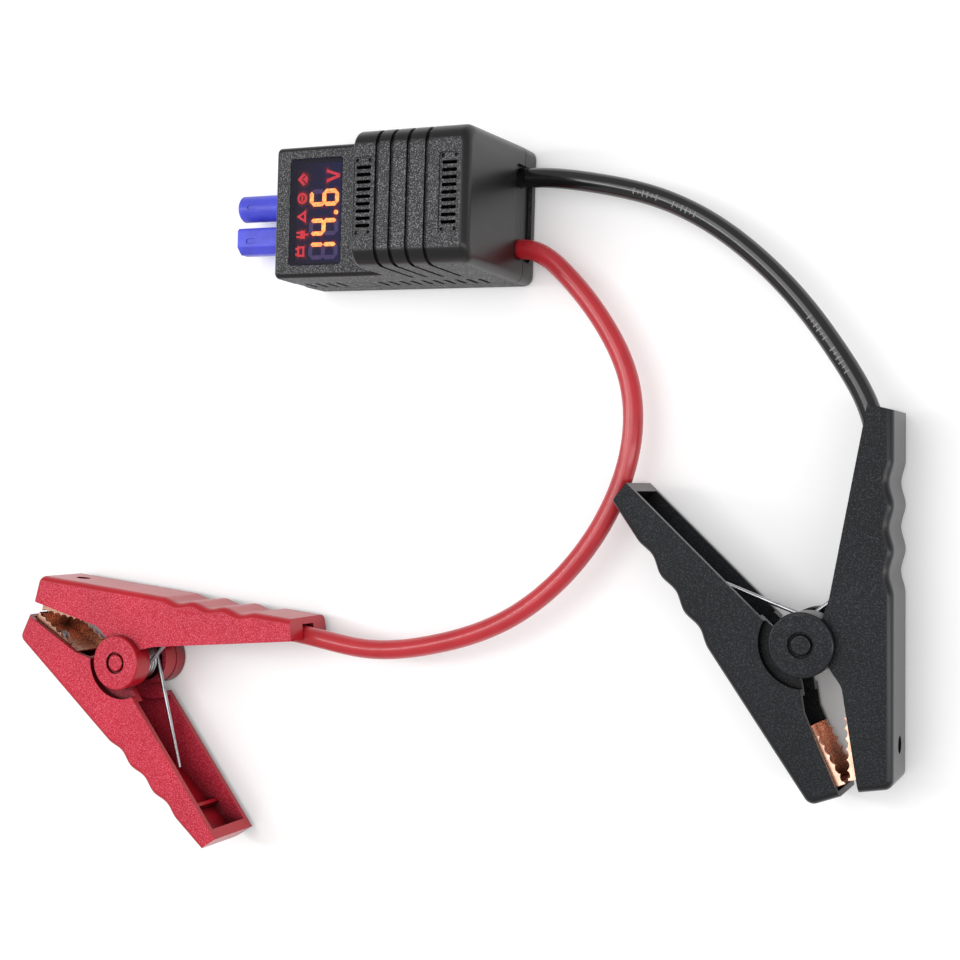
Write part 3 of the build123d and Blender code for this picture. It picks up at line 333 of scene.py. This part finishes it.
def smoked_lens():
    """Dark clear window: tinted see-through with a polished face."""
    material, tree, skin = new_material("smoked_window")
    tint = mix_colour(tree, noise(tree, 30 * MM), (0.52, 0.46, 0.62), (0.6, 0.55, 0.72))
    shine = add(tree, "BsdfGlossy", Color=(0.9, 0.92, 1.0), Roughness=0.05)
    smudge = ramp(tree, noise(tree, 9 * MM), 0.4, 0.8, 0.0, 0.01)
    share = calc(tree, "ADD", add(tree, "Fresnel", IOR=1.46).outputs[0], smudge)
    over_clear(tree, skin, share, shine, tint)
    return material


def display_panel():
    """Face of the display with painted glow: it gives off faint light of its own, near black and purple at its far
    edge, deep blue at the near one.
    """
    material, tree, skin = new_material("display_black")
    low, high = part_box("display_block")
    split = add(tree, "SeparateXYZ", Vector=add(tree, "TexCoord").outputs["Object"])
    share = ramp(tree, split.outputs[0], low.x, high.x)
    base = mix_colour(tree, share, (0.006, 0.001, 0.006), (0.004, 0.012, 0.1))
    # Painted glow: the face's own colour is also given out as light, though the face is no lamp.
    dress(tree, skin, Base_Color=base, Roughness=0.5, Emission_Color=base, Emission_Strength=0.5)
    return material


def glow_film():
    """Light spilling round the lit bars, strongest where the stored glow value is high."""
    material, tree, skin = new_material("display_glow")
    glow = add(tree, "Attribute", {"attribute_name": "glow"}).outputs["Fac"]
    colour = mix_colour(tree, glow, (0.7, 0.02, 0.02), (1.0, 0.16, 0.03))
    over_clear(tree, skin, glow, add(tree, "Emission", Color=colour, Strength=0.9))
    return material


def circuit_green():
    """Solder mask with faint tracks under it."""
    material, tree, skin = new_material("board_green")
    tracks = add(tree, "TexBrick", Vector=coordinates(tree), Scale=150.0, Mortar_Size=0.03)
    base = mix_colour(tree, tracks.outputs["Fac"], (0.01, 0.12, 0.05), (0.05, 0.28, 0.12))
    dress(tree, skin, Base_Color=base, Roughness=0.3)
    dress(tree, skin, Normal=bump(tree, tracks.outputs["Fac"], 0.05 * MM, 0.4))
    return material


def slot_materials():
    """The material of each of the record's slots."""
    return {
        "black_shell": spark_plastic("black_shell", (0.024, 0.024, 0.026), (0.006, 0.006, 0.007),
                                     (0.22, 0.22, 0.23), satin=(0.004, 0.004, 0.004)),
        "black_jaw": spark_plastic("black_jaw", (0.008, 0.009, 0.011), (0.005, 0.005, 0.007),
                                   (0.035, 0.037, 0.043), "Z", shine=0.22),
        "red_jaw": spark_plastic("red_jaw", (0.47, 0.01, 0.03), (0.42, 0.006, 0.016),
                                 (0.72, 0.1, 0.15), "Z", cover=0.47),
        "smoked_window": smoked_lens(),
        "display_black": display_panel(),
        "lit_bars": glowing("lit_bars", (1.0, 0.5, 0.07), 6.0, (1.0, 0.2, 0.03)),
        "lit_marks": glowing("lit_marks", (1.0, 0.07, 0.04), 2.4, (0.8, 0.03, 0.03)),
        "board_green": circuit_green(),
        "component_black": smooth_plastic("component_black", (0.02, 0.02, 0.022), 0.4),
        "capacitor_sleeve": smooth_plastic("capacitor_sleeve", (0.03, 0.03, 0.06), 0.25),
        "copper": metal("copper", (0.86, 0.5, 0.37), (0.66, 0.33, 0.22), 0.26),
        "steel": metal("steel", (0.5, 0.5, 0.52), (0.3, 0.3, 0.32), 0.3),
        "brass": metal("brass", (0.9, 0.66, 0.28), (0.7, 0.45, 0.15), 0.2),
        "plug_blue": smooth_plastic("plug_blue", (0.075, 0.085, 0.72), 0.34, 0.2, 0.15),
        "black_cable": sheath_rubber("black_cable", (0.005, 0.005, 0.006), (0.008, 0.008, 0.009), 0.14),
        "red_cable": sheath_rubber("red_cable", (0.5, 0.018, 0.028), (0.44, 0.014, 0.022), 0.3),
    }


def crease(piece):
    """Keep sharp edges sharp under smooth shading."""
    split = piece.modifiers.new("crease", "EDGE_SPLIT")
    split.split_angle = CREASE_ANGLE


def dress_frame(materials):
    """Give each CAD node its slot's material and smooth its curved faces."""
    # Painted glow: the unlit bars give off faint grey-blue light, though they are not lit.
    materials["unlit_bars"] = glowing("unlit_bars", (0.34, 0.4, 0.62), 0.42, (0.24, 0.28, 0.5))
    for name, node in frame["nodes"].items():
        slot = "unlit_bars" if name == "display_unlit_bars" else SLOT_OF[name]
        node.data.materials.clear()
        node.data.materials.append(materials[slot])
        if "custom_normal" in node.data.attributes:
            node.data.attributes.remove(node.data.attributes["custom_normal"])
        node.data.polygons.foreach_set("use_smooth", [True] * len(node.data.polygons))
        weld = node.modifiers.new("weld", "WELD")
        weld.merge_threshold = WELD_GAP
        crease(node)


# ------------------------------------------------------------------------------ mesh helpers
def make_piece(name, points, faces, material, body=None):
    """A mesh object, smooth except on faces of many sides, that rides on the body if one is given."""
    mesh = bpy.data.meshes.new(name)
    mesh.from_pydata([tuple(point) for point in points], [], faces)
    mesh.polygons.foreach_set("use_smooth", [len(face) < 5 for face in faces])
    mesh.materials.append(material)
    piece = bpy.data.objects.new(name, mesh)
    bpy.context.scene.collection.objects.link(piece)
    if body:
        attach(piece, body)
    return piece


def spline_through(points, step):
    """Natural cubic spline through the points, sampled at about the given step."""
    way = np.array([tuple(point) for point in points], float)
    gaps = np.linalg.norm(np.diff(way, axis=0), axis=1)
    count = len(way)
    system = np.zeros((count, count))
    target = np.zeros((count, 3))
    system[0, 0] = system[-1, -1] = 1.0
    for i in range(1, count - 1):
        system[i, i - 1:i + 2] = gaps[i - 1], 2 * (gaps[i - 1] + gaps[i]), gaps[i]
        target[i] = 6 * ((way[i + 1] - way[i]) / gaps[i] - (way[i] - way[i - 1]) / gaps[i - 1])
    bend = np.linalg.solve(system, target)
    line = []
    for i, gap in enumerate(gaps):
        steps = max(int(round(gap / step)), 1)
        for k in range(steps):
            t = gap * k / steps
            a, b = (gap - t) / gap, t / gap
            curve = ((a ** 3 - a) * bend[i] + (b ** 3 - b) * bend[i + 1]) * gap ** 2 / 6
            line.append(Vector(a * way[i] + b * way[i + 1] + curve))
    line.append(Vector(way[-1]))
    return line


def ring_frame(line, index):
    """Sideways and upward directions of a nearly level line at one of its points."""
    along = (line[min(index + 1, len(line) - 1)] - line[max(index - 1, 0)]).normalized()
    side = along.cross(UP).normalized()
    return side, side.cross(along)


def tube(name, line, radius, material, sides=CABLE_SIDES, first=0, last=None):
    """Closed round rod along a line, or along the part of it between two of its points."""
    stations = range(first, (len(line) - 1 if last is None else last) + 1)
    points = []
    for index in stations:
        side, up = ring_frame(line, index)
        for k in range(sides):
            angle = 2 * math.pi * k / sides
            points.append(line[index] + (side * math.cos(angle) + up * math.sin(angle)) * radius)
    faces = [tuple(reversed(range(sides)))]
    for ring in range(len(stations) - 1):
        for k in range(sides):
            a, b = ring * sides + k, ring * sides + (k + 1) % sides
            faces.append((a, b, b + sides, a + sides))
    cap = (len(stations) - 1) * sides
    faces.append(tuple(range(cap, cap + sides)))
    rod = make_piece(name, points, faces, material)
    crease(rod)
    return rod


# ------------------------------------------------------------------------------------- cables
def clamp_point(colour, local_mm):
    """A point given in a clamp's own frame, in the row frame."""
    joint = JOINTS[f"{colour}_jaw_open"]
    across = Vector((0, 0, -joint["axis"][2]))
    along = Vector((math.cos(CLAMP_ANGLE[colour]), math.sin(CLAMP_ANGLE[colour]), 0))
    x, y, z = local_mm
    return Vector(joint["pos_m"]) + (along * x + across.cross(along) * y + across * z) * MM


def cable_line(colour):
    """Middle line of a cable, from the module's end wall to its lug in the clamp."""
    _, y, z = JOINTS[f"{colour}_lead_swing"]["pos_m"]
    way = [Vector((EXIT_START, y, z)), Vector((EXIT_STRAIGHT, y, z))]
    way += [Vector(point) * MM for point in CABLE_LAY_MM[colour]]
    way += [clamp_point(colour, point) for point in HANDLE_RUN_MM]
    return spline_through(way, CABLE_STEP)


def make_cable(colour, material):
    """A root that stays fixed at the module and a rigid run to the clamp, which together stand for the sheath."""
    line = cable_line(colour)
    cut = next(i for i, point in enumerate(line) if point.x > ROOT_END)
    root = tube(f"{colour}_cable_root", line, CABLE_R, material, last=cut)
    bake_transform(root)
    run = tube(f"{colour}_cable_run", line, CABLE_R, material, first=cut)
    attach(run, f"{colour}_lead")
    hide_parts(f"{colour}_cable_sheath")
    return line


def make_marks(line):
    """Groups of small plain ticks printed along the top of the black cable."""
    material = smooth_plastic("mark_ink", (0.6, 0.6, 0.58), 0.5)
    run = np.cumsum([0.0] + [(line[i + 1] - line[i]).length for i in range(len(line) - 1)])
    points, faces = [], []
    for start in MARK_GROUPS:
        for tick in range(MARK_COUNT):
            place = start + tick * MARK_PITCH
            turn = MARK_TURN * (MARK_SHORT if tick % 3 == 1 else 1.0)
            first = len(points)
            for end in (place, place + MARK_LENGTH):
                ring = float(np.interp(end, run, range(len(line))))
                index = int(ring)
                centre = line[index].lerp(line[index + 1], ring - index)
                side, up = ring_frame(line, index)
                for k in range(MARK_SPANS + 1):
                    angle = MARK_SIDE + turn * (k / MARK_SPANS - 0.5)
                    outwards = side * math.cos(angle) + up * math.sin(angle)
                    points.append(centre + outwards * (CABLE_R + MARK_LIFT))
            for k in range(MARK_SPANS):
                a = first + k
                faces.append((a, a + 1, a + MARK_SPANS + 2, a + MARK_SPANS + 1))
    marks = make_piece("black_cable_marks", points, faces, material, "black_lead")
    solid = marks.modifiers.new("thickness", "SOLIDIFY")
    solid.thickness = MARK_THICKNESS


# ------------------------------------------------------------------------------------ springs
def make_spring(colour, material):
    """Torsion spring: the coil and one leg stay with the lead, the other leg with the jaw."""
    first = COIL_START
    last = first + 2 * math.pi * COIL_TURNS
    steps = int(COIL_TURNS * COIL_STEPS)
    coil = []
    for k in range(steps + 1):
        angle = first + (last - first) * k / steps
        z = COIL_LOW_MM + (COIL_HIGH_MM - COIL_LOW_MM) * k / steps
        coil.append(clamp_point(colour, (COIL_R_MM * math.cos(angle), COIL_R_MM * math.sin(angle), z)))
    ways = (((math.sin(first), -math.cos(first)), FIXED_LEG_MM),
            ((-math.sin(last), math.cos(last)), MOVING_LEG_MM))
    legs = []
    for (x, y), length in ways:
        start = coil[-1 if legs else 0]
        way = clamp_point(colour, (x, y, 0)) - clamp_point(colour, (0, 0, 0))
        legs.append([start + way * length * k / LEG_STEPS for k in range(LEG_STEPS + 1)])
    body = tube(f"{colour}_spring_coil", legs[0][:0:-1] + coil, WIRE_R, material, WIRE_SIDES)
    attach(body, f"{colour}_lead")
    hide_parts(f"{colour}_jaw_spring")
    leg = tube(f"{colour}_spring_leg", legs[1], WIRE_R, material, WIRE_SIDES)
    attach(leg, f"{colour}_jaw")


# ------------------------------------------------------------------------------------ display
def make_glow():
    """A thin film over the display face that glows round the lit bars and marks."""
    low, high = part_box("display_block")
    lit = [vertex.co for node in ("display_lit_bars", "display_unit_mark", "display_icons")
           for vertex in frame["nodes"][node].data.vertices]
    spots = np.array([tuple(co)[:2] for co in lit])
    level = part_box("display_lit_bars")[0].z + GLOW_LIFT
    across = np.arange(low.x + GLOW_MARGIN, high.x - GLOW_MARGIN, GLOW_STEP)
    along = np.arange(low.y + GLOW_MARGIN, high.y - GLOW_MARGIN, GLOW_STEP)
    points = [(x, y, level) for x in across for y in along]
    rows = len(along)
    faces = [(i * rows + j, (i + 1) * rows + j, (i + 1) * rows + j + 1, i * rows + j + 1)
             for i in range(len(across) - 1) for j in range(rows - 1)]
    film = make_piece("display_glow_film", points, faces, glow_film(), "module")
    flat = np.array(points)[:, :2]
    near = np.array([np.min(np.hypot(*(spots - point).T)) for point in flat])
    value = GLOW_PEAK * np.exp(-(near / GLOW_REACH) ** 2)
    film.data.attributes.new("glow", "FLOAT", "POINT").data.foreach_set("value", value.astype(np.float32))
    return film


# ------------------------------------------------------------------------------ stage and light
def make_stage():
    """Pale floor under an even white sky."""
    material, tree, skin = new_material("pale_floor")
    tone = mix_colour(tree, noise(tree, 0.05), (0.93, 0.93, 0.93), (0.95, 0.95, 0.95))
    dress(tree, skin, Base_Color=tone, Roughness=0.7, Emission_Color=tone, Emission_Strength=FLOOR_LIFT)
    corners = [(x * FLOOR_HALF, y * FLOOR_HALF, 0) for x, y in ((-1, -1), (1, -1), (1, 1), (-1, 1))]
    floor = make_piece("floor", corners, [(0, 1, 2, 3)], material)
    world = bpy.data.worlds.new("studio")
    world.use_nodes = True
    sky = world.node_tree.nodes["Background"]
    sky.inputs["Color"].default_value = (1.0, 1.0, 1.0, 1.0)
    sky.inputs["Strength"].default_value = SKY_STRENGTH
    bpy.context.scene.world = world
    bpy.context.scene.view_settings.view_transform = "Standard"


def softbox(name, place, target, size, power):
    """Large soft lamp that faces the target."""
    light = bpy.data.lights.new(name, "AREA")
    light.shape = "RECTANGLE"
    light.size, light.size_y = size
    light.energy = power
    lamp = bpy.data.objects.new(name, light)
    lamp.location = place
    lamp.rotation_euler = (Vector(target) - Vector(place)).to_track_quat("-Z", "Y").to_euler()
    bpy.context.scene.collection.objects.link(lamp)


def make_lights():
    middle = (cad_box[0] + cad_box[1]) / 2
    for name, (offset, size, power) in SOFTBOXES.items():
        softbox(name, middle + Vector(offset), middle, size, power)


def make_camera():
    """The camera of the reference view."""
    data = bpy.data.cameras.new("camera")
    data.sensor_width = SENSOR
    data.lens = LENS
    camera = bpy.data.objects.new("camera", data)
    camera.location = CAMERA_PLACE
    camera.rotation_euler = CAMERA_TURN
    bpy.context.scene.collection.objects.link(camera)
    bpy.context.scene.camera = camera


materials = slot_materials()
dress_frame(materials)
for colour in ("black", "red"):
    line = make_cable(colour, materials[f"{colour}_cable"])
    make_spring(colour, materials["steel"])
    if colour == "black":
        make_marks(line)
make_glow()
make_stage()
make_lights()
make_camera()
